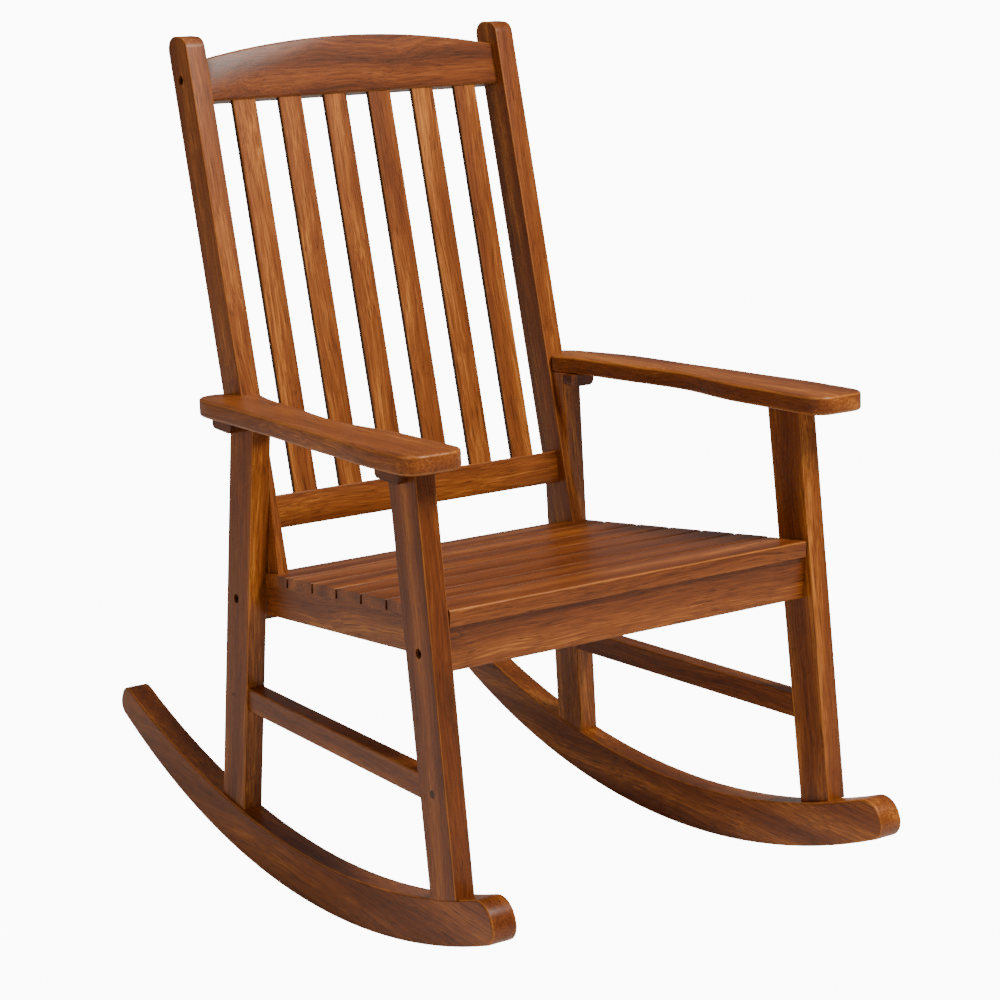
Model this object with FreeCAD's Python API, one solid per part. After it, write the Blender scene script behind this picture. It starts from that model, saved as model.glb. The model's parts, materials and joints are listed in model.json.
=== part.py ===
import FreeCAD, Part
import math
import os

# A slatted wooden rocking chair. All lengths are millimetres, Z is up, the
# sitter faces -Y and sits with their left hand at +X. The floor is z = 0 and
# the rockers touch it close under the chair's centre of mass, the pose the
# chair rests in when left alone.

V = FreeCAD.Vector
os.makedirs("parts", exist_ok=True)

LEFT = 1
RIGHT = -1
SIDE_NAMES = {LEFT: "left", RIGHT: "right"}
WIDE = 500.0                # half length of a cutting slab, wider than the chair
SOFT = 2.0                  # hand-softened arris on every board

# ---------------------------------------------------------------- rockers
ROCKER_INNER_X = 255.0
ROCKER_THICK = 34.0
ROCKER_RADIUS = 1120.0      # the arc that rolls on the floor
CONTACT_Y = -8.0            # where that arc touches the floor
ROCKER_DEPTH = 61.0         # depth over the contact point
ROCKER_TOP_FRONT_R = 1165.0
ROCKER_TOP_REAR_R = 1290.0
NOSE_TIP_Y = {LEFT: -501.0, RIGHT: -465.0}
TAIL_TIP_Y = {LEFT: 436.0, RIGHT: 472.0}
NOSE_ROUND = 21.0           # under the nose
NOSE_TOP_ROUND = 27.0       # over the nose
TAIL_ROUND = 18.0
ROCKER_SOFT = 3.0

# ---------------------------------------------------------------- arms
ARM_TOP_Z0 = 617.6          # height of the arm's top plane at y = 0
ARM_FALL = 0.0628           # drop per millimetre towards the back
ARM_THICK = 23.3
ARM_SOFT = 4.0
ARM_FRONT_Y = {LEFT: -375.0, RIGHT: -351.0}
ARM_CORNER = 25.0           # radius of the two front corners, in plan
CORNER_STEPS = 4
ARM_OUTER = ((326.0, -295.0), (325.0, -240.0), (321.0, -190.0),
             (317.0, -120.0), (311.0, -40.0), (306.0, 55.0))
ARM_TAIL = {
    LEFT: ((298.0, 105.0), (289.5, 136.0), (282.0, 162.0), (272.0, 182.0),
           (260.0, 188.0), (246.0, 182.0), (233.0, 168.0)),
    RIGHT: ((304.0, 105.0), (303.5, 150.0), (301.5, 178.0), (294.0, 196.0),
            (282.0, 203.5), (269.0, 205.0), (257.0, 200.5), (244.0, 189.0), (232.0, 172.0)),
}
ARM_INNER = ((226.5, 157.0), (229.0, 143.0), (234.0, 120.0), (239.5, 75.0),
             (247.0, 0.0), (253.5, -55.0), (254.5, -110.0), (249.5, -150.0),
             (244.0, -190.0), (243.0, -250.0), (243.0, -295.0))

# ---------------------------------------------------------------- legs
LEG_THICK = 27.2
LEG_LOW_Z = 105.0           # the two heights the leg outlines are given at
LEG_HIGH_Z = 630.0
LEG_START_Z = 50.0           # below the rockers' top, so a foot can be trimmed to it
FRONT_LEG_INNER_X = 265.0
FRONT_LEG_FRONT_Y = (-396.7, -310.6)
FRONT_LEG_REAR_Y = (-340.4, -249.9)
REAR_LEG_INNER_X = (255.0, 223.9)
REAR_LEG_FRONT_Y = (124.5, 131.4)
REAR_LEG_REAR_Y = (181.7, 190.4)

# ---------------------------------------------------------------- back
LEAN = 0.29                 # rearward run of the back per unit of height
BACK_FOOT_Y = -11.06        # where the posts' front line would meet the floor
POST_INNER_X = 222.5
POST_THICK = 27.8
POST_DEPTH = 50.0
POST_BOTTOM_Z = 340.0         # below the seat, so the foot can be trimmed to it
POST_TOP_Z = 1047.5
POST_TOP_ROUND = 17.0
RAIL_SET_BACK = 13.9        # rails behind the posts' front face
BACK_RAIL_THICK = 28.0
CREST_BOTTOM_Z = 967.0
CREST_END_Z = 1019.6
CREST_RISE = 22.3
LOWER_RAIL_BOTTOM_Z = 436.0
LOWER_RAIL_TOP_Z = 477.0
LOWER_RAIL_BEVEL = 3.5      # the lower half of its face tips back
BACK_SLAT_COUNT = 6
BACK_SLAT_PITCH = 67.9
BACK_SLAT_WIDE = 34.0
BACK_SLAT_THICK = 9.0
BACK_SLAT_SET_BACK = 2.5    # slats behind the rails' front face
TENON = 12.0

# ---------------------------------------------------------------- seat
SEAT_Z = 448.7              # top of the seat at SEAT_REF_Y
SEAT_REF_Y = -315.0
SEAT_FALL = 0.1533
SEAT_HALF = 268.4           # half width of the seat at SEAT_REF_Y
SEAT_TAPER = 0.0557
SLAT_THICK = 14.0
SLAT_GAP = 5.0
SLAT_GAPS_Y = (-264.1, -201.5, -137.5, -73.1, -8.0, 61.3)
SEAT_FRONT_Y = -339.0
SEAT_REAR_Y = 124.0
FRONT_SLAT_HALF = 262.5
FRONT_SLAT_LIP = 20.5       # depth of the front slat's nose
FRONT_SLAT_LIP_THICK = 5.0

# ---------------------------------------------------------------- rails
APRON_FRONT_Y = -334.0
APRON_REAR_Y = -309.0
APRON_BOTTOM_Z = 377.0
SIDE_RAIL_OUTER_X = (265.0, 243.4)
SIDE_RAIL_Y = (-309.0, 88.0)
SIDE_RAIL_THICK = 23.0
SIDE_RAIL_BOTTOM_Z = (388.0, 330.9)
REAR_RAIL_Y = (148.5, 172.5)
REAR_RAIL_Z = (311.0, 366.0)
STRETCHER_OUTER_X = (289.5, 272.0)
STRETCHER_Y = (-315.0, 126.0)
STRETCHER_THICK = 24.5
STRETCHER_HIGH = 30.5
STRETCHER_TOP_Z = {LEFT: (246.5, 221.5), RIGHT: (255.4, 230.2)}

# ---------------------------------------------------------------- cleats
FRONT_CLEAT_Y = (-300.0, -248.5)
FRONT_CLEAT_Z = 594.5
FRONT_CLEAT_WIDE = 13.0
REAR_CLEAT_Y = (137.0, 186.0)
REAR_CLEAT_Z = 566.0
REAR_CLEAT_WIDE = 31.0
INNER_CLEAT_X = (225.0, 262.0)
INNER_CLEAT_Y = (110.0, 130.0)
INNER_CLEAT_Z = 571.0
CLEAT_ROUND = 7.0

# ---------------------------------------------------------------- fixings
BOLT_HEAD_R = 5.5
BOLT_HEAD_HIGH = 4.0
BOLT_SINK = 3.0             # depth of the head below the wood's face
BOLT_SHANK_R = 3.0
BOLT_BORE_R = 6.0
BOLT_LONG = 62.0
HEX_ACROSS = 4.0
NUT_R = 5.0
NUT_LONG = 16.0
PLUG_R = 5.0
PLUG_LONG = 8.0
DOWEL_R = 5.0
DOWEL_LONG = 50.0
SCREW_R = 2.0
SCREW_HEAD_R = 3.8
SCREW_HEAD_HIGH = 2.6
SCREW_LONG = 34.0


# ---------------------------------------------------------------- helpers
def at(pair, span, here):
    """Value on the straight line through pair, given at the two ends of span."""
    return pair[0] + (pair[1] - pair[0]) * (here - span[0]) / (span[1] - span[0])


def face_of(points):
    return Part.Face(Part.makePolygon(points + points[:1]))


def prism_x(points, x_from, x_to):
    """Solid whose outline lies in the YZ plane."""
    face = face_of([V(x_from, y, z) for y, z in points])
    return face.extrude(V(x_to - x_from, 0, 0))


def prism_y(points, y_from, y_to):
    """Solid whose outline lies in the XZ plane."""
    face = face_of([V(x, y_from, z) for x, z in points])
    return face.extrude(V(0, y_to - y_from, 0))


def prism_z(points, z_from, z_to):
    """Solid whose outline lies in the XY plane."""
    face = face_of([V(x, y, z_from) for x, y in points])
    return face.extrude(V(0, 0, z_to - z_from))


def box(x, y, z):
    """Box from three (low, high) pairs."""
    return Part.makeBox(x[1] - x[0], y[1] - y[0], z[1] - z[0], V(x[0], y[0], z[0]))


def mirrored(shape, side):
    """The part as drawn for the left, or its mirror image for the right."""
    if side == LEFT:
        return shape
    return shape.mirror(V(0, 0, 0), V(1, 0, 0))


def softened(shape, radius, keep):
    """Fillet the edges for which keep(edge) is true."""
    edges = [edge for edge in shape.Edges if keep(edge)]
    return shape.makeFillet(radius, edges)


def runs_along(direction, tolerance=0.02):
    """Edge test: is the edge straight and parallel to direction?"""
    def test(edge):
        if edge.Curve.TypeId != "Part::GeomLine":
            return False
        span = edge.Vertexes[-1].Point - edge.Vertexes[0].Point
        return span.cross(direction).Length < tolerance * span.Length * direction.Length
    return test


def rod(centre, direction, radius, length):
    return Part.makeCylinder(radius, length, centre, direction)


def cut_all(shape, tools):
    for tool in tools:
        shape = shape.cut(tool)
    return shape


def only_solid(shape):
    """The largest solid left after cutting."""
    return max(shape.Solids, key=lambda solid: solid.Volume)


def save(name, shape):
    shape.exportStep("parts/" + name + ".step")


# ---------------------------------------------------------------- planes
def arm_top(y):
    return ARM_TOP_Z0 - ARM_FALL * y


ARM_DROP = ARM_THICK * math.sqrt(1 + ARM_FALL ** 2)
BELOW_ARM = prism_x([(-WIDE, 0), (WIDE, 0), (WIDE, arm_top(WIDE) - ARM_DROP),
                     (-WIDE, arm_top(-WIDE) - ARM_DROP)], -WIDE, WIDE)


def seat_top(y):
    return SEAT_Z - SEAT_FALL * (y - SEAT_REF_Y)


SLAT_DROP = SLAT_THICK * math.sqrt(1 + SEAT_FALL ** 2)


def back_line(z):
    """y of the posts' front line at height z."""
    return BACK_FOOT_Y + LEAN * z


LEAN_DEG = math.degrees(math.atan(LEAN))
BACK_PLACE = FreeCAD.Placement(V(0, BACK_FOOT_Y, 0),
                               FreeCAD.Rotation(V(1, 0, 0), -LEAN_DEG))
UP_BACK = BACK_PLACE.Rotation.multVec(V(0, 0, 1))


def along_back(z, set_back=0.0):
    """Distance up the back's slope to height z, at a depth behind the posts' face."""
    lean = math.radians(LEAN_DEG)
    return (z + set_back * math.sin(lean)) / math.cos(lean)


def in_back(shape):
    """Move a shape drawn upright into the leaning plane of the back."""
    placed = shape.copy()
    placed.Placement = BACK_PLACE.multiply(placed.Placement)
    return placed


# ---------------------------------------------------------------- rockers
def arc_point(centre_z, radius, degrees):
    turn = math.radians(degrees)
    return V(0, CONTACT_Y + radius * math.sin(turn), centre_z - radius * math.cos(turn))


def top_point(centre_z, radius, degrees):
    """Where the radial line of the floor arc crosses the top curve."""
    turn = math.radians(degrees)
    lift = centre_z - ROCKER_RADIUS
    reach = math.sqrt(radius ** 2 - (lift * math.sin(turn)) ** 2) - lift * math.cos(turn)
    return V(0, CONTACT_Y + reach * math.sin(turn), ROCKER_RADIUS - reach * math.cos(turn))


TOP_FRONT_CENTRE = ROCKER_DEPTH + ROCKER_TOP_FRONT_R
TOP_REAR_CENTRE = ROCKER_DEPTH + ROCKER_TOP_REAR_R


def end_angle(tip_y, rounding):
    """Angle from the contact point to an end whose rounded tip reaches tip_y."""
    reach = abs(tip_y - CONTACT_Y) - rounding
    turn = 0.0
    for _ in range(5):
        turn = math.asin((reach + rounding * math.cos(turn)) / (ROCKER_RADIUS - rounding))
    return math.degrees(turn)


def rocker(side):
    nose = -end_angle(NOSE_TIP_Y[side], NOSE_ROUND)
    tail = end_angle(TAIL_TIP_Y[side], TAIL_ROUND)
    nose_low = arc_point(ROCKER_RADIUS, ROCKER_RADIUS, nose)
    tail_low = arc_point(ROCKER_RADIUS, ROCKER_RADIUS, tail)
    middle_low = arc_point(ROCKER_RADIUS, ROCKER_RADIUS, 0)
    nose_high = top_point(TOP_FRONT_CENTRE, ROCKER_TOP_FRONT_R, nose)
    tail_high = top_point(TOP_REAR_CENTRE, ROCKER_TOP_REAR_R, tail)
    middle_high = V(0, CONTACT_Y, ROCKER_DEPTH)
    half_front = top_point(TOP_FRONT_CENTRE, ROCKER_TOP_FRONT_R, nose / 2)
    half_rear = top_point(TOP_REAR_CENTRE, ROCKER_TOP_REAR_R, tail / 2)
    edges = [Part.Arc(nose_low, middle_low, tail_low).toShape(),
             Part.makeLine(tail_low, tail_high),
             Part.Arc(tail_high, half_rear, middle_high).toShape(),
             Part.Arc(middle_high, half_front, nose_high).toShape(),
             Part.makeLine(nose_high, nose_low)]
    blank = Part.Face(Part.Wire(edges)).extrude(V(ROCKER_THICK, 0, 0))
    blank.translate(V(ROCKER_INNER_X, 0, 0))
    across = runs_along(V(1, 0, 0))

    def at_nose(edge):
        return across(edge) and edge.Vertexes[0].Y < nose_high.y + 1

    def at_tail(edge):
        return across(edge) and edge.Vertexes[0].Y > tail_high.y - 1

    blank = softened(blank, NOSE_ROUND, lambda edge: at_nose(edge)
                     and edge.Vertexes[0].Z < nose_low.z + 1)
    blank = softened(blank, NOSE_TOP_ROUND, lambda edge: at_nose(edge)
                     and edge.Vertexes[0].Z > nose_high.z - 1)
    blank = softened(blank, TAIL_ROUND, at_tail)
    return softened(blank, ROCKER_SOFT, lambda edge: not across(edge))


def above_rocker(front):
    """The space above the rockers' top curve, to trim a foot to it."""
    radius = ROCKER_TOP_FRONT_R if front else ROCKER_TOP_REAR_R
    centre = TOP_FRONT_CENTRE if front else TOP_REAR_CENTRE
    return rod(V(-WIDE, CONTACT_Y, centre), V(1, 0, 0), radius, 2 * WIDE)


# ---------------------------------------------------------------- legs
LEG_SPAN = (LEG_LOW_Z, LEG_HIGH_Z)


def front_leg_rear(z):
    return at(FRONT_LEG_REAR_Y, LEG_SPAN, z)


def rear_leg_front(z):
    return at(REAR_LEG_FRONT_Y, LEG_SPAN, z)


def rear_leg_inner(z):
    return at(REAR_LEG_INNER_X, LEG_SPAN, z)


def leg_blank(inner_x, front_y, rear_y):
    """Four-sided leg between its foot and above the arm; long arrises softened."""
    low, high = LEG_START_Z, LEG_HIGH_Z
    side_view = [(at(front_y, LEG_SPAN, low), low), (at(rear_y, LEG_SPAN, low), low),
                 (at(rear_y, LEG_SPAN, high), high), (at(front_y, LEG_SPAN, high), high)]
    inner = [at(inner_x, LEG_SPAN, z) for z in (low, high)]
    front_view = [(inner[0], low), (inner[0] + LEG_THICK, low),
                  (inner[1] + LEG_THICK, high), (inner[1], high)]
    blank = prism_x(side_view, 0, WIDE).common(prism_y(front_view, -WIDE, WIDE))
    return softened(blank, SOFT, lambda edge: abs(
        edge.Vertexes[-1].Z - edge.Vertexes[0].Z) > WIDE / 2)


def front_leg():
    inner = (FRONT_LEG_INNER_X, FRONT_LEG_INNER_X)
    leg = leg_blank(inner, FRONT_LEG_FRONT_Y, FRONT_LEG_REAR_Y)
    return only_solid(leg.common(above_rocker(True)).common(BELOW_ARM))


def rear_leg():
    leg = leg_blank(REAR_LEG_INNER_X, REAR_LEG_FRONT_Y, REAR_LEG_REAR_Y)
    return only_solid(leg.common(above_rocker(False)).common(BELOW_ARM))


# ---------------------------------------------------------------- back
def post_blank():
    """Square-edged leaning post, level at both ends; also the cutter for its housings."""
    run = POST_DEPTH * math.sqrt(1 + LEAN ** 2)
    low, high = POST_BOTTOM_Z, POST_TOP_Z
    profile = [(back_line(low), low), (back_line(low) + run, low),
               (back_line(high) + run, high), (back_line(high), high)]
    return prism_x(profile, POST_INNER_X, POST_INNER_X + POST_THICK)


def back_post(blank):
    """Post with a rounded top; below the arm it is halved to lie against the leg."""
    across = runs_along(V(1, 0, 0))
    post = softened(blank, POST_TOP_ROUND,
                    lambda edge: across(edge) and edge.Vertexes[0].Z > POST_TOP_Z - 1)
    post = softened(post, SOFT, runs_along(UP_BACK))
    seat_under = [(-WIDE, 0), (WIDE, 0), (WIDE, seat_top(WIDE) - SLAT_DROP),
                  (-WIDE, seat_top(-WIDE) - SLAT_DROP)]
    outboard = [(rear_leg_inner(0), 0), (WIDE, 0), (WIDE, LEG_HIGH_Z),
                (rear_leg_inner(LEG_HIGH_Z), LEG_HIGH_Z)]
    halving = prism_y(outboard, -WIDE, WIDE).common(BELOW_ARM)
    return only_solid(cut_all(post, [prism_x(seat_under, 0, WIDE), halving]))


def back_slat_x(index):
    return (index - (BACK_SLAT_COUNT - 1) / 2.0) * BACK_SLAT_PITCH


CREST_LOW = along_back(CREST_BOTTOM_Z, RAIL_SET_BACK)
CREST_END = along_back(CREST_END_Z, RAIL_SET_BACK)
LOWER_LOW = along_back(LOWER_RAIL_BOTTOM_Z, RAIL_SET_BACK)
LOWER_HIGH = along_back(LOWER_RAIL_TOP_Z, RAIL_SET_BACK)
RAIL_DEPTH = (RAIL_SET_BACK, RAIL_SET_BACK + BACK_RAIL_THICK)
SLAT_FRONT = RAIL_SET_BACK + BACK_SLAT_SET_BACK


def back_slat_upright(index, grow=0.0):
    x = back_slat_x(index)
    slat = box((x - BACK_SLAT_WIDE / 2, x + BACK_SLAT_WIDE / 2),
               (SLAT_FRONT, SLAT_FRONT + BACK_SLAT_THICK),
               (LOWER_HIGH - TENON, CREST_LOW + TENON))
    return softened(slat, SOFT, runs_along(V(0, 0, 1)))


def crest_rail():
    half = POST_INNER_X
    top = CREST_END + CREST_RISE
    edges = [Part.makeLine(V(-half, 0, CREST_LOW), V(half, 0, CREST_LOW)),
             Part.makeLine(V(half, 0, CREST_LOW), V(half, 0, CREST_END)),
             Part.Arc(V(half, 0, CREST_END), V(0, 0, top), V(-half, 0, CREST_END)).toShape(),
             Part.makeLine(V(-half, 0, CREST_END), V(-half, 0, CREST_LOW))]
    rail = Part.Face(Part.Wire(edges)).extrude(V(0, BACK_RAIL_THICK, 0))
    rail.translate(V(0, RAIL_SET_BACK, 0))

    def long_edge(edge):
        return abs(edge.Vertexes[-1].X - edge.Vertexes[0].X) > half

    rail = softened(rail, ROCKER_SOFT, long_edge)
    return cut_all(rail, [back_slat_upright(i) for i in range(BACK_SLAT_COUNT)])


def lower_back_rail():
    front, rear = RAIL_DEPTH
    half_way = (LOWER_LOW + LOWER_HIGH) / 2
    profile = [(front + LOWER_RAIL_BEVEL, LOWER_LOW), (rear, LOWER_LOW), (rear, LOWER_HIGH),
               (front, LOWER_HIGH), (front, half_way)]
    rail = prism_x(profile, -POST_INNER_X, POST_INNER_X)
    rail = softened(rail, SOFT, lambda edge: runs_along(V(1, 0, 0))(edge)
                    and abs(edge.Vertexes[0].Z - half_way) > 1)
    return cut_all(rail, [back_slat_upright(i) for i in range(BACK_SLAT_COUNT)])


# ---------------------------------------------------------------- seat
def seat_plan():
    """Plan outline the slat ends are trimmed to, as a tall solid."""
    ends = (SEAT_FRONT_Y, SEAT_REAR_Y + WIDE / 10)
    half = [SEAT_HALF - SEAT_TAPER * (y - SEAT_REF_Y) for y in ends]
    return prism_z([(-half[0], ends[0]), (half[0], ends[0]), (half[1], ends[1]),
                    (-half[1], ends[1])], 0, WIDE)


def seat_slat(y_from, y_to):
    profile = [(y_from, seat_top(y_from)), (y_to, seat_top(y_to)),
               (y_to, seat_top(y_to) - SLAT_DROP), (y_from, seat_top(y_from) - SLAT_DROP)]
    slat = prism_x(profile, -WIDE, WIDE)
    slat = softened(slat, SOFT, runs_along(V(1, 0, 0)))
    return only_solid(slat.common(seat_plan()))


def front_slat(y_to):
    """The first slat has a deeper nose that drops over the apron."""
    nose = SEAT_FRONT_Y
    lip_rear = nose + FRONT_SLAT_LIP_THICK
    profile = [(nose, seat_top(nose)), (y_to, seat_top(y_to)),
               (y_to, seat_top(y_to) - SLAT_DROP), (lip_rear, seat_top(lip_rear) - SLAT_DROP),
               (lip_rear, seat_top(nose) - FRONT_SLAT_LIP),
               (nose, seat_top(nose) - FRONT_SLAT_LIP)]
    slat = prism_x(profile, -FRONT_SLAT_HALF, FRONT_SLAT_HALF)

    def top_edge(edge):
        start = edge.Vertexes[0]
        return runs_along(V(1, 0, 0))(edge) and start.Z > seat_top(start.Y) - 1

    return softened(slat, ROCKER_SOFT, top_edge)


def seat_slats(posts):
    edges_y = [SEAT_FRONT_Y] + list(SLAT_GAPS_Y) + [SEAT_REAR_Y + SLAT_GAP / 2]
    slats = [front_slat(edges_y[1] - SLAT_GAP / 2)]
    for y_from, y_to in zip(edges_y[1:], edges_y[2:]):
        slats.append(seat_slat(y_from + SLAT_GAP / 2, y_to - SLAT_GAP / 2))
    slats[-1] = only_solid(cut_all(slats[-1], posts))
    return slats


# ---------------------------------------------------------------- rails
def front_rail():
    rear_top = seat_top(APRON_REAR_Y) - SLAT_DROP
    front_top = seat_top(APRON_FRONT_Y) - SLAT_DROP
    profile = [(APRON_FRONT_Y, APRON_BOTTOM_Z), (APRON_REAR_Y, APRON_BOTTOM_Z),
               (APRON_REAR_Y, rear_top), (APRON_FRONT_Y, front_top)]
    rail = prism_x(profile, -FRONT_LEG_INNER_X, FRONT_LEG_INNER_X)
    return softened(rail, SOFT, lambda edge: runs_along(V(1, 0, 0))(edge)
                    and edge.Vertexes[0].Z < APRON_BOTTOM_Z + 1)


def side_rail():
    far = SIDE_RAIL_Y[1] + WIDE / 10
    outer = [at(SIDE_RAIL_OUTER_X, SIDE_RAIL_Y, y) for y in (SIDE_RAIL_Y[0], far)]
    plan = prism_z([(outer[0] - SIDE_RAIL_THICK, SIDE_RAIL_Y[0]), (outer[0], SIDE_RAIL_Y[0]),
                    (outer[1], far), (outer[1] - SIDE_RAIL_THICK, far)], 0, WIDE)
    top = [seat_top(y) - SLAT_DROP for y in (SIDE_RAIL_Y[0], far)]
    low = [at(SIDE_RAIL_BOTTOM_Z, SIDE_RAIL_Y, y) for y in (SIDE_RAIL_Y[0], far)]
    side = prism_x([(SIDE_RAIL_Y[0], low[0]), (far, low[1]), (far, top[1]),
                    (SIDE_RAIL_Y[0], top[0])], 0, WIDE)
    before_leg = prism_x([(-WIDE, 0), (rear_leg_front(0), 0), (rear_leg_front(WIDE), WIDE),
                          (-WIDE, WIDE)], 0, WIDE)
    return only_solid(plan.common(side).common(before_leg))


def rear_rail(legs):
    half = REAR_LEG_INNER_X[0]
    rail = box((-half, half), REAR_RAIL_Y, REAR_RAIL_Z)
    rail = softened(rail, SOFT, runs_along(V(1, 0, 0)))
    slabs = []
    for side in (LEFT, RIGHT):
        low, high = [(side * rear_leg_inner(z), z) for z in (LEG_LOW_Z, LEG_HIGH_Z)]
        corners = [V(low[0], 0, low[1]), V(high[0], 0, high[1]), V(side * WIDE, 0, high[1]),
                   V(side * WIDE, 0, low[1])]
        slabs.append(face_of(corners).extrude(V(0, WIDE, 0)))
    return only_solid(cut_all(rail, slabs))


def side_stretcher(side):
    top = STRETCHER_TOP_Z[side]
    ends = (STRETCHER_Y[0] - TENON, STRETCHER_Y[1] + TENON)
    outer = [at(STRETCHER_OUTER_X, STRETCHER_Y, y) for y in ends]
    plan = prism_z([(outer[0] - STRETCHER_THICK, ends[0]), (outer[0], ends[0]),
                    (outer[1], ends[1]), (outer[1] - STRETCHER_THICK, ends[1])], 0, WIDE)
    high = [at(top, STRETCHER_Y, y) for y in ends]
    rise = prism_x([(ends[0], high[0] - STRETCHER_HIGH), (ends[1], high[1] - STRETCHER_HIGH),
                    (ends[1], high[1]), (ends[0], high[0])], 0, WIDE)
    bar = plan.common(rise)
    bar = softened(bar, SOFT, lambda edge: edge.Length > WIDE / 2)
    between = prism_x([(front_leg_rear(0), 0), (rear_leg_front(0), 0),
                       (rear_leg_front(WIDE), WIDE), (front_leg_rear(WIDE), WIDE)], 0, WIDE)
    return only_solid(bar.common(between))


# ---------------------------------------------------------------- arms
def on_arm(x, y):
    return V(x, y, arm_top(y))


def rounded_corner(corner_x, inward, centre_y):
    """Points round a front corner of the arm, from its side to its front edge."""
    centre_x = corner_x + inward * ARM_CORNER
    points = []
    for step in range(0, CORNER_STEPS):
        turn = math.radians(90.0 * step / CORNER_STEPS)
        points.append((centre_x - inward * ARM_CORNER * math.cos(turn),
                       centre_y - ARM_CORNER * math.sin(turn)))
    return points


def arm_blank(side):
    """Arm board: one closed smooth outline, thick and rounded over all round."""
    front_y = ARM_FRONT_Y[side]
    centre_y = front_y + ARM_CORNER
    outer_x = ARM_OUTER[0][0] - 1
    inner_x = ARM_INNER[-1][0]
    front = [((inner_x + outer_x) / 2 + shift, front_y) for shift in (-14, 0, 14)]
    inner_corner = rounded_corner(inner_x, 1, centre_y)
    outer_corner = rounded_corner(outer_x, -1, centre_y)
    outline = list(ARM_OUTER + ARM_TAIL[side] + ARM_INNER)
    outline += inner_corner + front + outer_corner[::-1]
    curve = Part.BSplineCurve()
    curve.interpolate([on_arm(x, y) for x, y in outline], PeriodicFlag=True)
    normal = V(0, ARM_FALL, 1).normalize()
    board = Part.Face(Part.Wire([curve.toShape()])).extrude(normal * -ARM_THICK)
    return softened(board, ARM_SOFT, lambda edge: edge.Length > WIDE)


def armrest(side, post):
    return only_solid(arm_blank(side).cut(post))


# ---------------------------------------------------------------- cleats
def cleat(x_pair, y_pair, z_low, along):
    """Block under the arm; its two lower corners are rounded where seen along an axis."""
    block = box(x_pair, y_pair, (z_low, LEG_HIGH_Z))
    block = softened(block, CLEAT_ROUND, lambda edge: runs_along(along)(edge)
                     and edge.Vertexes[0].Z < z_low + 1)
    return block.common(BELOW_ARM)


def cleats(leg):
    outer_front = FRONT_LEG_INNER_X + LEG_THICK
    front = cleat((outer_front, outer_front + FRONT_CLEAT_WIDE), FRONT_CLEAT_Y,
                  FRONT_CLEAT_Z, V(1, 0, 0))
    outer_rear = rear_leg_inner(LEG_HIGH_Z) + LEG_THICK
    rear = cleat((outer_rear, outer_rear + REAR_CLEAT_WIDE), REAR_CLEAT_Y,
                 REAR_CLEAT_Z, V(1, 0, 0))
    inner = cleat(INNER_CLEAT_X, INNER_CLEAT_Y, INNER_CLEAT_Z, V(0, 1, 0))
    return [front, only_solid(rear.cut(leg)), inner]


# ---------------------------------------------------------------- fixings
def bolt(face_point, inward, length=BOLT_LONG):
    """Socket-head bolt sunk below a face; returns the bolt and its bore."""
    seat = face_point + inward * BOLT_SINK
    head = rod(seat, inward, BOLT_HEAD_R, BOLT_HEAD_HIGH)
    shank = rod(seat + inward * BOLT_HEAD_HIGH, inward, BOLT_SHANK_R, length)
    socket = rod(seat, inward, HEX_ACROSS / 2, BOLT_HEAD_HIGH / 2)
    body = head.fuse(shank).removeSplitter().cut(socket)
    bore = rod(face_point - inward * BOLT_SINK, inward, BOLT_BORE_R,
               2 * BOLT_SINK + BOLT_HEAD_HIGH)
    hole = bore.fuse(rod(seat, inward, BOLT_SHANK_R, BOLT_HEAD_HIGH + length))
    return body, hole


def barrel_nut(face_point, inward, axis, deep):
    """Cross dowel nut round a bolt's shank at a depth below the face."""
    centre = face_point + inward * deep
    start = centre - axis * (NUT_LONG / 2)
    barrel = rod(start, axis, NUT_R, NUT_LONG)
    thread = rod(centre - inward * NUT_R * 2, inward, BOLT_SHANK_R, NUT_R * 4)
    return barrel.cut(thread), barrel


def screw(head_point, direction, length=SCREW_LONG):
    head = Part.makeCone(SCREW_HEAD_R, SCREW_R, SCREW_HEAD_HIGH, head_point, direction)
    shank = rod(head_point + direction * SCREW_HEAD_HIGH, direction, SCREW_R,
                length - SCREW_HEAD_HIGH)
    return head.fuse(shank).removeSplitter()


INWARD = V(-1, 0, 0)        # from the left-hand outer face towards the middle
ALONG_Z = V(0, 0, 1)
REAR_BOLT_AT = (160.0, 343.0)
APRON_BOLT_AT = (-319.0, 401.0)
CREST_BOLT_UP = along_back(997.0, RAIL_SET_BACK)
CREST_BOLT_BACK = RAIL_SET_BACK + BACK_RAIL_THICK / 2
REAR_PLUG_AT = (159.0, 212.0)
FRONT_PLUG_AT = (-346.0, 240.0)
NUT_DEEP = 56.0


def main_bolts():
    """The three bolts of one side with the holes they need."""
    rear_x = rear_leg_inner(REAR_BOLT_AT[1]) + LEG_THICK
    crest = BACK_PLACE.multVec(V(POST_INNER_X + POST_THICK, CREST_BOLT_BACK, CREST_BOLT_UP))
    points = [V(rear_x, REAR_BOLT_AT[0], REAR_BOLT_AT[1]),
              V(FRONT_LEG_INNER_X + LEG_THICK, APRON_BOLT_AT[0], APRON_BOLT_AT[1]), crest]
    axes = [ALONG_Z, ALONG_Z, UP_BACK]
    bolts, holes, nuts, nut_holes = [], [], [], []
    for point, axis in zip(points, axes):
        body, hole = bolt(point, INWARD)
        nut, nut_hole = barrel_nut(point, INWARD, axis, NUT_DEEP)
        bolts.append(body)
        holes.append(hole)
        nuts.append(nut)
        nut_holes.append(nut_hole)
    return bolts, holes, nuts, nut_holes


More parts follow.
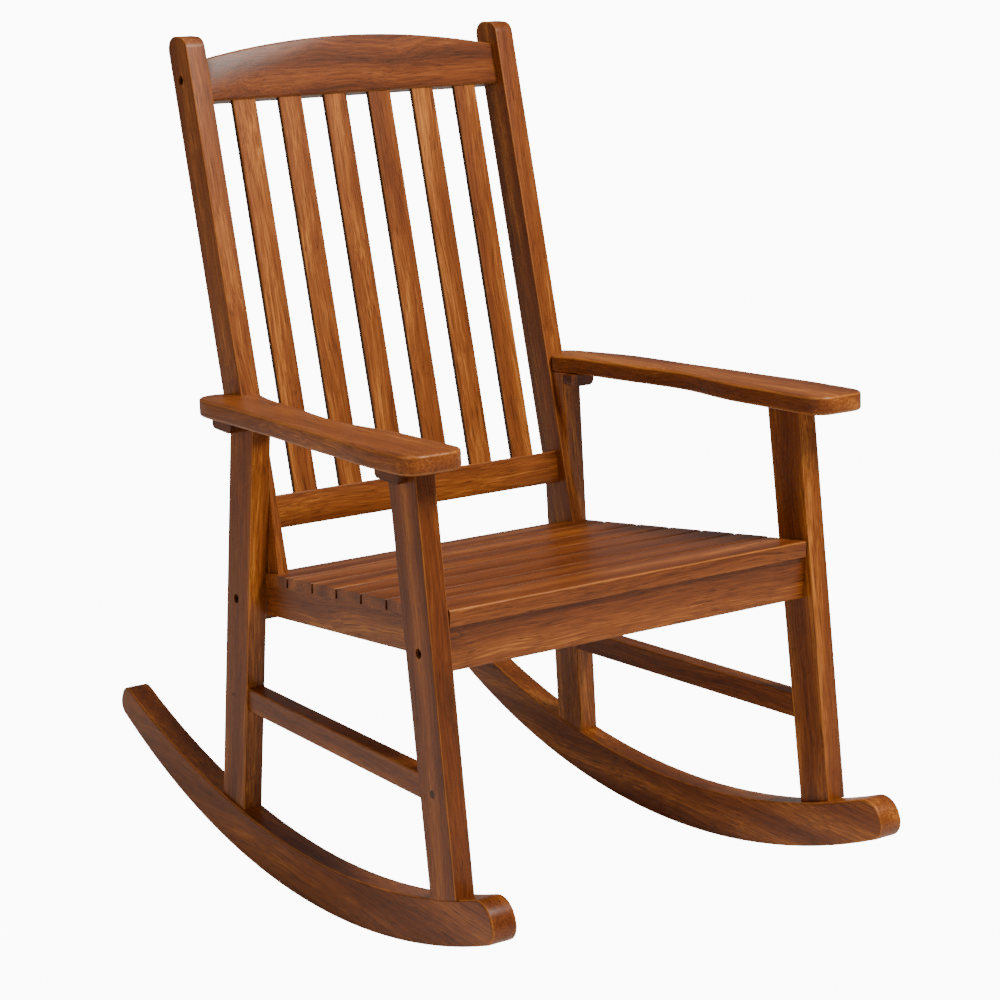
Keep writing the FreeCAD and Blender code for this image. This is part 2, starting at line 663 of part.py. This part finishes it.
def plugs():
    """Wooden plugs over the stretchers' screws, flush with the legs' outer faces."""
    rear_x = rear_leg_inner(REAR_PLUG_AT[1]) + LEG_THICK
    front_x = FRONT_LEG_INNER_X + LEG_THICK
    made = []
    for x, spot in ((rear_x, REAR_PLUG_AT), (front_x, FRONT_PLUG_AT)):
        made.append(rod(V(x, spot[0], spot[1]), INWARD, PLUG_R, PLUG_LONG))
    return made


def foot_dowels():
    """Dowels standing in the rockers and running up into the legs."""
    front_y = (at(FRONT_LEG_FRONT_Y, LEG_SPAN, LEG_LOW_Z) + front_leg_rear(LEG_LOW_Z)) / 2
    rear_y = (rear_leg_front(LEG_LOW_Z) + at(REAR_LEG_REAR_Y, LEG_SPAN, LEG_LOW_Z)) / 2
    front_x = FRONT_LEG_INNER_X + LEG_THICK / 2
    rear_x = REAR_LEG_INNER_X[0] + LEG_THICK / 2
    made = []
    for x, y in ((front_x, front_y), (rear_x, rear_y)):
        top = arc_height(y)
        made.append(rod(V(x, y, top - DOWEL_LONG / 2), ALONG_Z, DOWEL_R, DOWEL_LONG))
    return made


def arc_height(y):
    """Height of the rockers' top curve at y."""
    front = y < CONTACT_Y
    radius = ROCKER_TOP_FRONT_R if front else ROCKER_TOP_REAR_R
    return ROCKER_DEPTH + radius - math.sqrt(radius ** 2 - (y - CONTACT_Y) ** 2)


def slat_screws():
    """Two screws per slat end, driven down into the side rails."""
    rows = [SEAT_FRONT_Y + 5] + list(SLAT_GAPS_Y) + [SEAT_REAR_Y]
    down = V(0, -SEAT_FALL, -1).normalize()
    made = []
    for y_from, y_to in zip(rows, rows[1:]):
        y = min((y_from + y_to) / 2, SIDE_RAIL_Y[1] - SLAT_THICK)
        x = at(SIDE_RAIL_OUTER_X, SIDE_RAIL_Y, y) - SIDE_RAIL_THICK / 2
        made.append(screw(V(x, y, seat_top(y)) + down * 0.2, down))
    return made


# ---------------------------------------------------------------- assembly
housing = post_blank()
post = back_post(housing)
leg_rear = rear_leg()
leg_front = front_leg()
rail_side = side_rail()
bolts, bolt_holes, nuts, nut_holes = main_bolts()
plug_list = plugs()
dowels = foot_dowels()
screws = slat_screws()
cleat_list = cleats(leg_rear)
through = bolt_holes + nut_holes + plug_list + dowels + screws

side_parts = {
    "front_leg": leg_front,
    "rear_leg": leg_rear,
    "back_post": post,
    "side_seat_rail": rail_side,
}
for side, name in SIDE_NAMES.items():
    tools = [mirrored(tool, side) for tool in through]
    for part, shape in side_parts.items():
        save(part + "_" + name, cut_all(mirrored(shape, side), tools))
    own_parts = {"rocker": rocker(side), "side_stretcher": side_stretcher(side),
                 "armrest": armrest(side, housing)}
    for part, shape in own_parts.items():
        save(part + "_" + name, cut_all(mirrored(shape, side), tools))
    save("arm_cleats_" + name,
         Part.makeCompound([mirrored(block, side) for block in cleat_list]))

both_tools = [mirrored(tool, side) for side in (LEFT, RIGHT) for tool in through]
posts = [mirrored(post, side) for side in (LEFT, RIGHT)]
legs = [mirrored(leg_rear, side) for side in (LEFT, RIGHT)]
save("front_seat_rail", cut_all(front_rail(), both_tools))
save("rear_seat_rail", cut_all(rear_rail(legs), both_tools))
save("crest_rail", cut_all(in_back(crest_rail()), both_tools))
save("lower_back_rail", in_back(lower_back_rail()))
for index in range(BACK_SLAT_COUNT):
    save("back_slat_" + str(index + 1), in_back(back_slat_upright(index)))
for index, slat in enumerate(seat_slats(posts)):
    save("seat_slat_" + str(index + 1), cut_all(slat, both_tools))


def both_sides(shapes):
    return Part.makeCompound([mirrored(shape, side) for side in (LEFT, RIGHT)
                              for shape in shapes])


save("frame_bolts", both_sides(bolts))
save("barrel_nuts", both_sides(nuts))
save("wood_plugs", both_sides(plug_list))
save("foot_dowels", both_sides(dowels))
save("slat_screws", both_sides(screws))
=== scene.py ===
# %% [markdown]
# # A slatted rocking chair in oiled hardwood
# The chair is a joiner's piece: sawn and planed boards, each with its long arrises softened
# by hand, oiled until the wood glows red-brown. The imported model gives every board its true
# size and place, so this lesson is about finish: how to make some thirty boards look like wood
# that was cut from real trees, each with its own grain running along its own length.
# Everything is in metres, with the floor at z = 0 and the sitter facing -Y.

# %% Load the fixed frame
import json
import math
import random

import bpy
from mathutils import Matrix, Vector

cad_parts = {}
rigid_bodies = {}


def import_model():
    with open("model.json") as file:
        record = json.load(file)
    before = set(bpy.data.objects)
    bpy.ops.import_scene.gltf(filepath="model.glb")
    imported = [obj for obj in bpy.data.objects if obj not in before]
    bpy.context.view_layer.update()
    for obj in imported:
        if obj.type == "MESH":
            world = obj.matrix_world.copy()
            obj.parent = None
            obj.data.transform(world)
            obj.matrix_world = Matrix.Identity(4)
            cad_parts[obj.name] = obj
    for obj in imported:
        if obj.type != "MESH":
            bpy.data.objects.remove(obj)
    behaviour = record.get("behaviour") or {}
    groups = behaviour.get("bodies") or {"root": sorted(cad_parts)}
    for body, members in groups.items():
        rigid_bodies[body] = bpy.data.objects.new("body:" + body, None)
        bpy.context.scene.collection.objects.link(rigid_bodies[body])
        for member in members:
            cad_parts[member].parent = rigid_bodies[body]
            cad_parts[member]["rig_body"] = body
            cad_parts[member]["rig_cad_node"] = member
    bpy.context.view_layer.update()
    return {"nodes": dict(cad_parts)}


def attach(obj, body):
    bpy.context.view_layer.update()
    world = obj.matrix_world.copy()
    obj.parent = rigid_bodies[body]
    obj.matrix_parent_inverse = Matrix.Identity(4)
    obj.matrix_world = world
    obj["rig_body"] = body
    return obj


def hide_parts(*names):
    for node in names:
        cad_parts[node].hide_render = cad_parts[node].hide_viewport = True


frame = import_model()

MM = 0.001

# %% [markdown]
# ## One joined-up copy of each board
# A CAD board arrives as loose triangles, which light shows as small flats round every
# softened edge. A copy can be merged into one skin, and then smooth shading bends the light
# over the rounded arrises and along the rockers' curves while the flat faces stay flat.
# Merging by hand would be Mesh > Merge > By Distance, and the same operator is used here.

# %% A planed board from its CAD solid
MERGE_GAP = 0.01 * MM
SMOOTH_BELOW = math.radians(32)


def planed_board(node_name):
    """A merged, smooth-shaded copy of a CAD node, standing in for it."""
    bpy.ops.object.select_all(action="DESELECT")
    source = frame["nodes"][node_name]
    source.select_set(True)
    bpy.context.view_layer.objects.active = source
    bpy.ops.object.duplicate()
    board = bpy.context.view_layer.objects.active
    board.name = node_name + "_board"
    board.data.name = board.name
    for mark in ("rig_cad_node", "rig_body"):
        if mark in board:
            del board[mark]
    board.parent = None
    bpy.ops.object.mode_set(mode="EDIT")
    bpy.ops.mesh.select_all(action="SELECT")
    bpy.ops.mesh.remove_doubles(threshold=MERGE_GAP)
    bpy.ops.object.mode_set(mode="OBJECT")
    if board.data.has_custom_normals:
        bpy.ops.mesh.customdata_custom_splitnormals_clear()
    bpy.ops.object.shade_smooth_by_angle(angle=SMOOTH_BELOW)
    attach(board, "root")
    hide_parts(node_name)
    return board


HARDWARE = ("frame_bolts", "barrel_nuts", "slat_screws", "foot_dowels", "wood_plugs")
board_names = sorted(name for name in frame["nodes"] if name not in HARDWARE)
boards = {name: planed_board(name) for name in board_names}
print("boards", len(boards), "faces", sum(len(b.data.polygons) for b in boards.values()))

# %% [markdown]
# ## Colour and node helpers
# Paint and stain colours are read off as sRGB hex values, but shaders add up light in linear
# numbers, so one function turns the one into the other. A second small function adds a node
# with its settings and its links, which keeps each material readable as a list of layers.

# %% Hex colours and one way to add a node


def linear(hex_colour):
    """Linear RGBA from an sRGB hex string."""
    channels = [int(hex_colour[i:i + 2], 16) / 255 for i in (1, 3, 5)]
    return tuple(c / 12.92 if c <= 0.04045 else ((c + 0.055) / 1.055) ** 2.4
                 for c in channels) + (1.0,)


def add_node(tree, kind, settings=None, **inputs):
    """Add one shader node, set its properties, and fill or link its inputs."""
    node = tree.nodes.new(kind)
    for name, value in (settings or {}).items():
        setattr(node, name, value)
    for name, value in inputs.items():
        key = int(name[1:]) if name[0] == "i" and name[1:].isdigit() else name.replace("_", " ")
        socket = node.inputs[key]
        if isinstance(value, bpy.types.NodeSocket):
            tree.links.new(value, socket)
        else:
            socket.default_value = value
    return node


def set_ramp(node, stops):
    """Give a colour ramp its stops, as (position, hex colour) pairs."""
    elements = node.color_ramp.elements
    while len(elements) < len(stops):
        elements.new(0.5)
    for element, (place, colour) in zip(elements, stops):
        element.position = place
        element.color = linear(colour)


print("mid brown", [round(c, 3) for c in linear("#7a4524")])

# %% [markdown]
# ## Acacia, planed, sanded and oiled
# Acacia is a dense hardwood with pores scattered all through it, and it stands here for
# whatever hardwood the chair is made of. Cut along the tree it shows three things at three
# sizes: slow bands a few centimetres wide where the heartwood changes tone, growth lines a few
# millimetres apart that run nearly straight and sometimes swing round into a flame, and fine
# dark pores like pencil strokes. A finish of oil deepens all of them, fills the pores only
# partly, and leaves a soft gloss. Every long edge is painted a little paler: partly wear, where
# hands and sandpaper thin the oil on the arrises and leave them smoother, and partly a painted
# highlight, where a rounded edge catches the light.
#
# A picture of a plank could be wrapped on each board, but it would stretch and repeat. Noise
# that lives in the wood's own space costs nothing to vary, so each board gets its own cut:
# the Mapping node lays the pattern along the board and slides it to a fresh place.

# %% The wood material
RING_SPACING = 7.0 * MM         # growth lines, drawn a little wide so that they show
BAND_WIDTH = 30.0 * MM          # slow changes of tone across the heartwood
STREAK_WIDTH = 1.6 * MM         # streaks between the growth lines
PORE_WIDTH = 1.0 * MM           # real pores are finer; drawn coarse enough to show
GRAIN_STRETCH = 34.0            # how much longer than wide a figure is
PORE_STRETCH = 38.0
BAND_STRETCH = 14.0
BUMP_DEPTH = 0.12 * MM

OIL_DARK = "#3d1f0b"
OIL_BROWN = "#683312"
OIL_AMBER = "#8a4b1c"
OIL_GOLD = "#be7632"


def oiled_acacia(name, along, thin, seed, warmth=0.0, figure=1.0, painted_shade_axis=None, rub_and_highlight=0.8):
    """Wood whose grain runs along one direction; thin is the board's thickness axis.

    warmth shifts the whole tone and figure is how far the grain wanders. The arris strength is
    how strongly the arrises are painted pale, partly as wear and partly as a painted highlight.
    The shade axis, if given, is the direction of sides coloured nearly black as painted shade.
    """
    dice = random.Random(seed)
    material = bpy.data.materials.new(name)
    material.use_nodes = True
    tree = material.node_tree
    tree.nodes.clear()
    place = add_node(tree, "ShaderNodeTexCoord").outputs["Object"]
    turn = Vector((1, 0, 0)).rotation_difference(Vector(along).normalized()).inverted()
    shift = [dice.uniform(-3, 3) for _ in range(3)]
    cut = add_node(tree, "ShaderNodeMapping", {"vector_type": "POINT"}, Vector=place,
                   Location=shift, Rotation=tuple(turn.to_euler()))
    wander = add_node(tree, "ShaderNodeTexNoise", {"noise_dimensions": "3D"},
                      Vector=cut.outputs[0], Scale=3.2, Detail=2.0)
    sway = add_node(tree, "ShaderNodeVectorMath", {"operation": "MULTIPLY_ADD"},
                    i0=wander.outputs["Color"], i1=(0.0, 0.035 * figure, 0.035 * figure),
                    i2=cut.outputs[0])
    swayed = sway.outputs[0]

    def stretched(width, stretch, detail, roughness=0.5):
        across = 1 / width
        squeeze = add_node(tree, "ShaderNodeVectorMath", {"operation": "MULTIPLY"},
                           i0=swayed, i1=(across / stretch, across, across))
        noise = add_node(tree, "ShaderNodeTexNoise", {}, Vector=squeeze.outputs[0],
                         Scale=1.0, Detail=detail, Roughness=roughness)
        return noise.outputs["Fac"]

    bands = stretched(BAND_WIDTH, BAND_STRETCH, 2.0)
    streaks = stretched(STREAK_WIDTH * 2.5, GRAIN_STRETCH, 4.0, 0.6)
    fine = stretched(STREAK_WIDTH, GRAIN_STRETCH, 3.0, 0.65)
    pores = stretched(PORE_WIDTH, PORE_STRETCH, 1.0)

    # growth lines: rings about an axis that lies off to one side of the board
    centre = (0.0, 0.06 + dice.uniform(0, 0.08), dice.uniform(-0.05, 0.05))
    ring_place = add_node(tree, "ShaderNodeVectorMath", {"operation": "MULTIPLY_ADD"},
                          i0=swayed, i1=(0.06, 1.0, 1.0), i2=centre)
    rings = add_node(tree, "ShaderNodeTexWave",
                     {"wave_type": "RINGS", "rings_direction": "X", "wave_profile": "SIN"},
                     Vector=ring_place.outputs[0], Scale=1 / (RING_SPACING * 20 / math.pi * 3.2),
                     Distortion=0.9 * figure, Detail=2.0)
    rings.inputs["Detail Scale"].default_value = 1.4

    tone_a = add_node(tree, "ShaderNodeMath", {"operation": "MULTIPLY_ADD"},
                      i0=bands, i1=0.34, i2=0.12 + warmth)
    tone_b = add_node(tree, "ShaderNodeMath", {"operation": "MULTIPLY_ADD"},
                      i0=streaks, i1=0.40, i2=tone_a.outputs[0])
    tone_c = add_node(tree, "ShaderNodeMath", {"operation": "MULTIPLY_ADD"},
                      i0=rings.outputs["Fac"], i1=0.14, i2=tone_b.outputs[0])
    tone = add_node(tree, "ShaderNodeMath", {"operation": "MULTIPLY_ADD"},
                    i0=fine, i1=0.46, i2=tone_c.outputs[0])
    tone_norm = add_node(tree, "ShaderNodeMapRange", {}, Value=tone.outputs[0])
    tone_norm.inputs["From Min"].default_value = 0.46
    tone_norm.inputs["From Max"].default_value = 1.02
    wood = add_node(tree, "ShaderNodeValToRGB", {}, Fac=tone_norm.outputs[0])
    set_ramp(wood, ((0.0, OIL_DARK), (0.38, OIL_BROWN), (0.72, OIL_AMBER), (1.0, OIL_GOLD)))

    # pores: only the darkest parts of a very fine noise
    pore_mask = add_node(tree, "ShaderNodeMapRange", {}, Value=pores)
    pore_mask.inputs["From Min"].default_value = 0.41
    pore_mask.inputs["From Max"].default_value = 0.30
    pore_strength = add_node(tree, "ShaderNodeMath", {"operation": "MULTIPLY"},
                             i0=pore_mask.outputs[0], i1=0.60)
    pored = add_node(tree, "ShaderNodeMix", {"data_type": "RGBA", "blend_type": "MIX"},
                     i0=pore_strength.outputs[0], i6=wood.outputs[0], i7=linear("#220d04"))

    # arrises: where the surface turns between the board's broad and narrow faces; they are
    # painted pale, partly as wear and partly as a painted highlight
    facing = add_node(tree, "ShaderNodeVectorMath", {"operation": "DOT_PRODUCT"},
                      i0=add_node(tree, "ShaderNodeTexCoord").outputs["Normal"],
                      i1=tuple(Vector(thin).normalized()))
    flatness = add_node(tree, "ShaderNodeMath", {"operation": "ABSOLUTE"},
                        i0=facing.outputs["Value"])
    tilt = add_node(tree, "ShaderNodeMath", {"operation": "PINGPONG"},
                    i0=flatness.outputs[0], i1=0.5)
    edge = add_node(tree, "ShaderNodeMapRange", {"interpolation_type": "SMOOTHSTEP"},
                    Value=tilt.outputs[0])
    edge.inputs["From Min"].default_value = 0.10
    edge.inputs["From Max"].default_value = 0.34
    rub_and_highlight_mask = add_node(tree, "ShaderNodeMath", {"operation": "MULTIPLY"},
                   i0=edge.outputs[0], i1=streaks)
    rub_and_highlight_strength = add_node(tree, "ShaderNodeMath", {"operation": "MULTIPLY"},
                            i0=rub_and_highlight_mask.outputs[0], i1=rub_and_highlight)
    # pale arris colour: partly wear, partly painted highlight
    worn_and_highlit = add_node(tree, "ShaderNodeMix", {"data_type": "RGBA", "blend_type": "MIX"},
                    i0=rub_and_highlight_strength.outputs[0], i6=pored.outputs[2], i7=linear("#c8823c"))

    # painted shade: a surface turned along the given axis is coloured nearly black, for the deep
    # shadow on the slats' sides and in the seat's gaps
    surface_colour = worn_and_highlit.outputs[2]
    if painted_shade_axis is not None:
        sideways = add_node(tree, "ShaderNodeVectorMath", {"operation": "DOT_PRODUCT"},
                            i0=add_node(tree, "ShaderNodeTexCoord").outputs["Normal"],
                            i1=tuple(Vector(painted_shade_axis).normalized()))
        side = add_node(tree, "ShaderNodeMath", {"operation": "ABSOLUTE"},
                        i0=sideways.outputs["Value"])
        side_mask = add_node(tree, "ShaderNodeMapRange", {}, Value=side.outputs[0])
        side_mask.inputs["From Min"].default_value = 0.80
        side_mask.inputs["From Max"].default_value = 0.97
        side_mask.inputs["To Max"].default_value = 0.72
        surface_colour = add_node(tree, "ShaderNodeMix", {"data_type": "RGBA", "blend_type": "MIX"},
                          i0=side_mask.outputs[0], i6=surface_colour,
                          i7=linear("#1c0b04")).outputs[2]

    gloss = add_node(tree, "ShaderNodeMapRange", {}, Value=fine)
    gloss.inputs["To Min"].default_value = 0.27
    gloss.inputs["To Max"].default_value = 0.47
    relief = add_node(tree, "ShaderNodeMath", {"operation": "MULTIPLY_ADD"},
                      i0=pore_mask.outputs[0], i1=-0.6, i2=fine)
    bump = add_node(tree, "ShaderNodeBump", {}, Height=relief.outputs[0], Strength=0.35)
    bump.inputs["Distance"].default_value = BUMP_DEPTH
    shader = add_node(tree, "ShaderNodeBsdfPrincipled", {}, Base_Color=surface_colour,
                      Roughness=gloss.outputs[0], Normal=bump.outputs[0])
    shader.inputs["IOR"].default_value = 1.48
    shader.inputs["Specular IOR Level"].default_value = 0.25
    shader.inputs["Coat Weight"].default_value = 0.05
    shader.inputs["Coat Roughness"].default_value = 0.28
    add_node(tree, "ShaderNodeOutputMaterial", {}, Surface=shader.outputs[0])
    return material


# %% [markdown]
# ## Which way each board was sawn
# A joiner always lays grain along a board's length, for strength. So each board needs its
# long direction and its thickness direction. Both can be read from the chair: rails and slats
# of the seat and back run across (X), legs and posts run up at their own lean, and arms,
# stretchers and rockers run from front to back (Y). The narrow sides of the back slats, and
# the edges in the gaps of the seat, sit in deep shadow and look nearly black. That shade is
# painted: those faces are coloured nearly black, which draws a line down the side of every
# slat that light alone did not give.

# %% Give every board its own cut of wood
SEAT_UP = Vector((0, 0.1515, 0.9885))
ARM_UP = Vector((0, 0.0627, 0.998))
ACROSS = Vector((1, 0, 0))
FORE_AND_AFT = Vector((0, 0.9885, -0.1515))
BACK_FACE = Vector((0, 0.9604, -0.2785))


def long_axis(board):
    """Direction between the middles of a board's two ends."""
    points = [v.co for v in board.data.vertices]
    spread = [max(p[i] for p in points) - min(p[i] for p in points) for i in range(3)]
    axis = spread.index(max(spread))
    low = min(p[axis] for p in points)
    high = max(p[axis] for p in points)
    margin = (high - low) * 0.06
    start = [p for p in points if p[axis] < low + margin]
    finish = [p for p in points if p[axis] > high - margin]
    middle = [sum(ps, Vector()) / len(ps) for ps in (start, finish)]
    return (middle[1] - middle[0]).normalized()


# Values for every board whose name starts with the given words
THIN_AXIS = (("seat_slat", SEAT_UP), ("armrest", ARM_UP), ("back_slat", BACK_FACE),
             ("crest", BACK_FACE), ("lower_back", BACK_FACE))
WARMTH = (("back_slat", 0.06), ("seat_slat", -0.03), ("crest", -0.12), ("back_post", 0.02),
          ("arm_cleats", -0.12), ("rear_seat", -0.1))
TONE_SPREAD = 0.04              # how much boards of one kind differ
WANDERING_FIGURE = 3.0          # the crest is the show board, cut where the grain swings
# how pale the arrises are painted: partly wear, partly painted highlight
RUB_AND_HIGHLIGHT_EDGE = 0.62
GAP_EDGE = 0.12                 # edges in the seat's gaps are never rubbed by hand and sit in shade, so they get little pale edge


def pick(table, name, otherwise):
    """The value of the first entry in a table that the name starts with."""
    for start, value in table:
        if name.startswith(start):
            return value
    return otherwise


dice = random.Random(7)
for number, (name, board) in enumerate(boards.items()):
    thin = pick(THIN_AXIS, name, ACROSS if "rail" not in name or "side" in name
                else Vector((0, 1, 0)))
    tone = pick(WARMTH, name, 0.0) + dice.uniform(-TONE_SPREAD, TONE_SPREAD)
    in_gap = name.startswith("seat_slat") and name != "seat_slat_1"
    # the back slats' sides and the seat's gap edges get painted shade
    painted_shade_axis = ACROSS if name.startswith("back_slat") else FORE_AND_AFT if in_gap else None
    figure = WANDERING_FIGURE if name == "crest_rail" else 1.0
    # the seat's gap edges get little of the pale edge, since they sit in shade
    rub_and_highlight = GAP_EDGE if in_gap else RUB_AND_HIGHLIGHT_EDGE
    wood = oiled_acacia("oiled_acacia_" + name, long_axis(board), thin, 100 + number, tone,
                        figure, painted_shade_axis, rub_and_highlight)
    board.data.materials.clear()
    board.data.materials.append(wood)
print("grain directions", {n: [round(c, 2) for c in long_axis(b)]
                           for n, b in list(boards.items())[:4]})

# %% [markdown]
# ## Bolts, nuts, screws and plugs
# The frame is drawn together with socket-head bolts, sunk below the surface and blackened so
# that they read as dark dots. The plugs over the stretcher screws are the same wood turned
# end-grain out, which drinks more oil and goes darker.

# %% Hardware finishes


def worn_metal(name, colour, scratch_colour, roughness, grit_mm):
    """Steel with a thin finish: slightly uneven gloss, rubbed brighter in specks."""
    material = bpy.data.materials.new(name)
    material.use_nodes = True
    tree = material.node_tree
    tree.nodes.clear()
    place = add_node(tree, "ShaderNodeTexCoord").outputs["Object"]
    grit = add_node(tree, "ShaderNodeTexNoise", {}, Vector=place,
                    Scale=1 / (grit_mm * MM), Detail=3.0)
    colour_mix = add_node(tree, "ShaderNodeValToRGB", {}, Fac=grit.outputs["Fac"])
    set_ramp(colour_mix, ((0.45, colour), (0.75, scratch_colour)))
    gloss = add_node(tree, "ShaderNodeMapRange", {}, Value=grit.outputs["Fac"])
    gloss.inputs["To Min"].default_value = roughness - 0.1
    gloss.inputs["To Max"].default_value = roughness + 0.15
    shader = add_node(tree, "ShaderNodeBsdfPrincipled", {}, Base_Color=colour_mix.outputs[0],
                      Roughness=gloss.outputs[0])
    shader.inputs["Metallic"].default_value = 1.0
    add_node(tree, "ShaderNodeOutputMaterial", {}, Surface=shader.outputs[0])
    return material


black_oxide = worn_metal("black_oxide_steel", "#2e2520", "#6b5d50", 0.45, 1.5)
zinc_plate = worn_metal("zinc_plated_steel", "#8f8f8c", "#b9b9b4", 0.35, 2.0)
end_grain = oiled_acacia("oiled_acacia_end_grain_plug", (1, 0, 0), (1, 0, 0), 500, -0.32, 0.4)
FINISHES = {"frame_bolts": black_oxide, "barrel_nuts": zinc_plate, "slat_screws": zinc_plate,
            "foot_dowels": end_grain, "wood_plugs": end_grain}
for name, finish in FINISHES.items():
    node = frame["nodes"][name]
    node.data.materials.clear()
    node.data.materials.append(finish)
print("hardware", sorted(FINISHES))

# %% [markdown]
# ## The studio
# A pale floor that runs out into an equally pale world leaves the chair alone on white. White
# all round would also wash the oil's deep colour out, so the floor and the world look bright
# but give little light, which a Light Path node does. The main light is a soft window high in
# front, on the sitter's left, which is why the fronts of the slats glow; a weaker, wider
# light from the other side keeps the near arm and legs readable.

# %% Floor and world
STUDIO_SEEN = 12.0              # how bright the white studio looks
STUDIO_LIGHT = 0.17             # how much light its world sends on to the wood
FLOOR_RADIUS = 60.0
FLOOR_DROP = 0.5 * MM           # keeps the floor clear of the rockers' lowest line
GLOW_SHARE = 0.92               # the rest of the floor is paint, and takes a faint shadow

bpy.ops.object.select_all(action="DESELECT")
bpy.ops.mesh.primitive_circle_add(vertices=96, radius=FLOOR_RADIUS, fill_type="NGON",
                                  location=(0, 0, -FLOOR_DROP))
floor = bpy.context.active_object
floor.name = "studio_floor"
floor_paint = bpy.data.materials.new("matt_white_floor")
floor_paint.use_nodes = True
floor_tree = floor_paint.node_tree
floor_tree.nodes.clear()
paint = add_node(floor_tree, "ShaderNodeBsdfDiffuse", {}, Color=linear("#f4f4f3"))
glow = add_node(floor_tree, "ShaderNodeEmission", {}, Color=(1, 1, 1, 1),
                Strength=STUDIO_SEEN)
floor_ray = add_node(floor_tree, "ShaderNodeLightPath")
seen = add_node(floor_tree, "ShaderNodeMath", {"operation": "MULTIPLY"},
                i0=floor_ray.outputs["Is Camera Ray"], i1=GLOW_SHARE)
both = add_node(floor_tree, "ShaderNodeMixShader", {}, i0=seen.outputs[0],
                i1=paint.outputs[0], i2=glow.outputs[0])
add_node(floor_tree, "ShaderNodeOutputMaterial", {}, Surface=both.outputs[0])
floor.data.materials.append(floor_paint)

world = bpy.data.worlds.new("white_studio")
world.use_nodes = True
world_tree = world.node_tree
sky = world_tree.nodes["Background"]
sky.inputs["Color"].default_value = (1, 1, 1, 1)
world_ray = add_node(world_tree, "ShaderNodeLightPath")
brightness = add_node(world_tree, "ShaderNodeMapRange", {},
                      Value=world_ray.outputs["Is Camera Ray"],
                      i3=STUDIO_LIGHT, i4=STUDIO_SEEN)
world_tree.links.new(brightness.outputs[0], sky.inputs["Strength"])
bpy.context.scene.world = world
print("floor radius", FLOOR_RADIUS, "world seen and given", STUDIO_SEEN, STUDIO_LIGHT)

# %% [markdown]
# ## Soft lights
# Each light is a square panel of about a window's size, aimed at the middle of the chair.
# The larger a panel is, the softer the edge of its shadow and the broader its gleam on oil.

# %% Three soft panels
CHAIR_MIDDLE = (0, 0, 0.5)


def softbox(name, place, target, size, watts, tint):
    """A square area light at place, facing target."""
    lamp = bpy.data.lights.new(name, "AREA")
    lamp.shape = "RECTANGLE"
    lamp.size, lamp.size_y = size
    lamp.energy = watts
    lamp.color = linear(tint)[:3]
    holder = bpy.data.objects.new(name, lamp)
    bpy.context.scene.collection.objects.link(holder)
    holder.location = place
    aim = Vector(target) - Vector(place)
    holder.rotation_euler = aim.to_track_quat("-Z", "Y").to_euler()
    return holder


softbox("window_front_right", (0.8, -2.1, 3.4), CHAIR_MIDDLE, (1.2, 1.2), 170, "#fff8f0")
softbox("fill_left", (-3.2, -0.6, 1.6), CHAIR_MIDDLE, (1.8, 1.8), 22, "#ffeed8")
softbox("top_panel", (0.0, 0.3, 3.0), CHAIR_MIDDLE, (1.8, 1.8), 20, "#fff0de")

# %% [markdown]
# ## The camera
# A long lens stands back from the chair and looks gently down on it from the front, a little
# over a third of a right angle round to its right-hand side, so the arms stay in true
# proportion.

# %% Place the camera
CAMERA_PLACE = (-1.7840, -2.6964, 1.3083)
CAMERA_AZIMUTH = 34.03
CAMERA_DOWN = 14.54
lens = bpy.data.cameras.new("long_lens")
lens.sensor_width = 36.0
lens.lens = 93.64
lens.shift_x = -0.0016
camera = bpy.data.objects.new("camera", lens)
bpy.context.scene.collection.objects.link(camera)
camera.location = CAMERA_PLACE
camera.rotation_euler = (math.radians(90 - CAMERA_DOWN), 0, math.radians(-CAMERA_AZIMUTH))
bpy.context.scene.camera = camera
print("camera", CAMERA_PLACE)
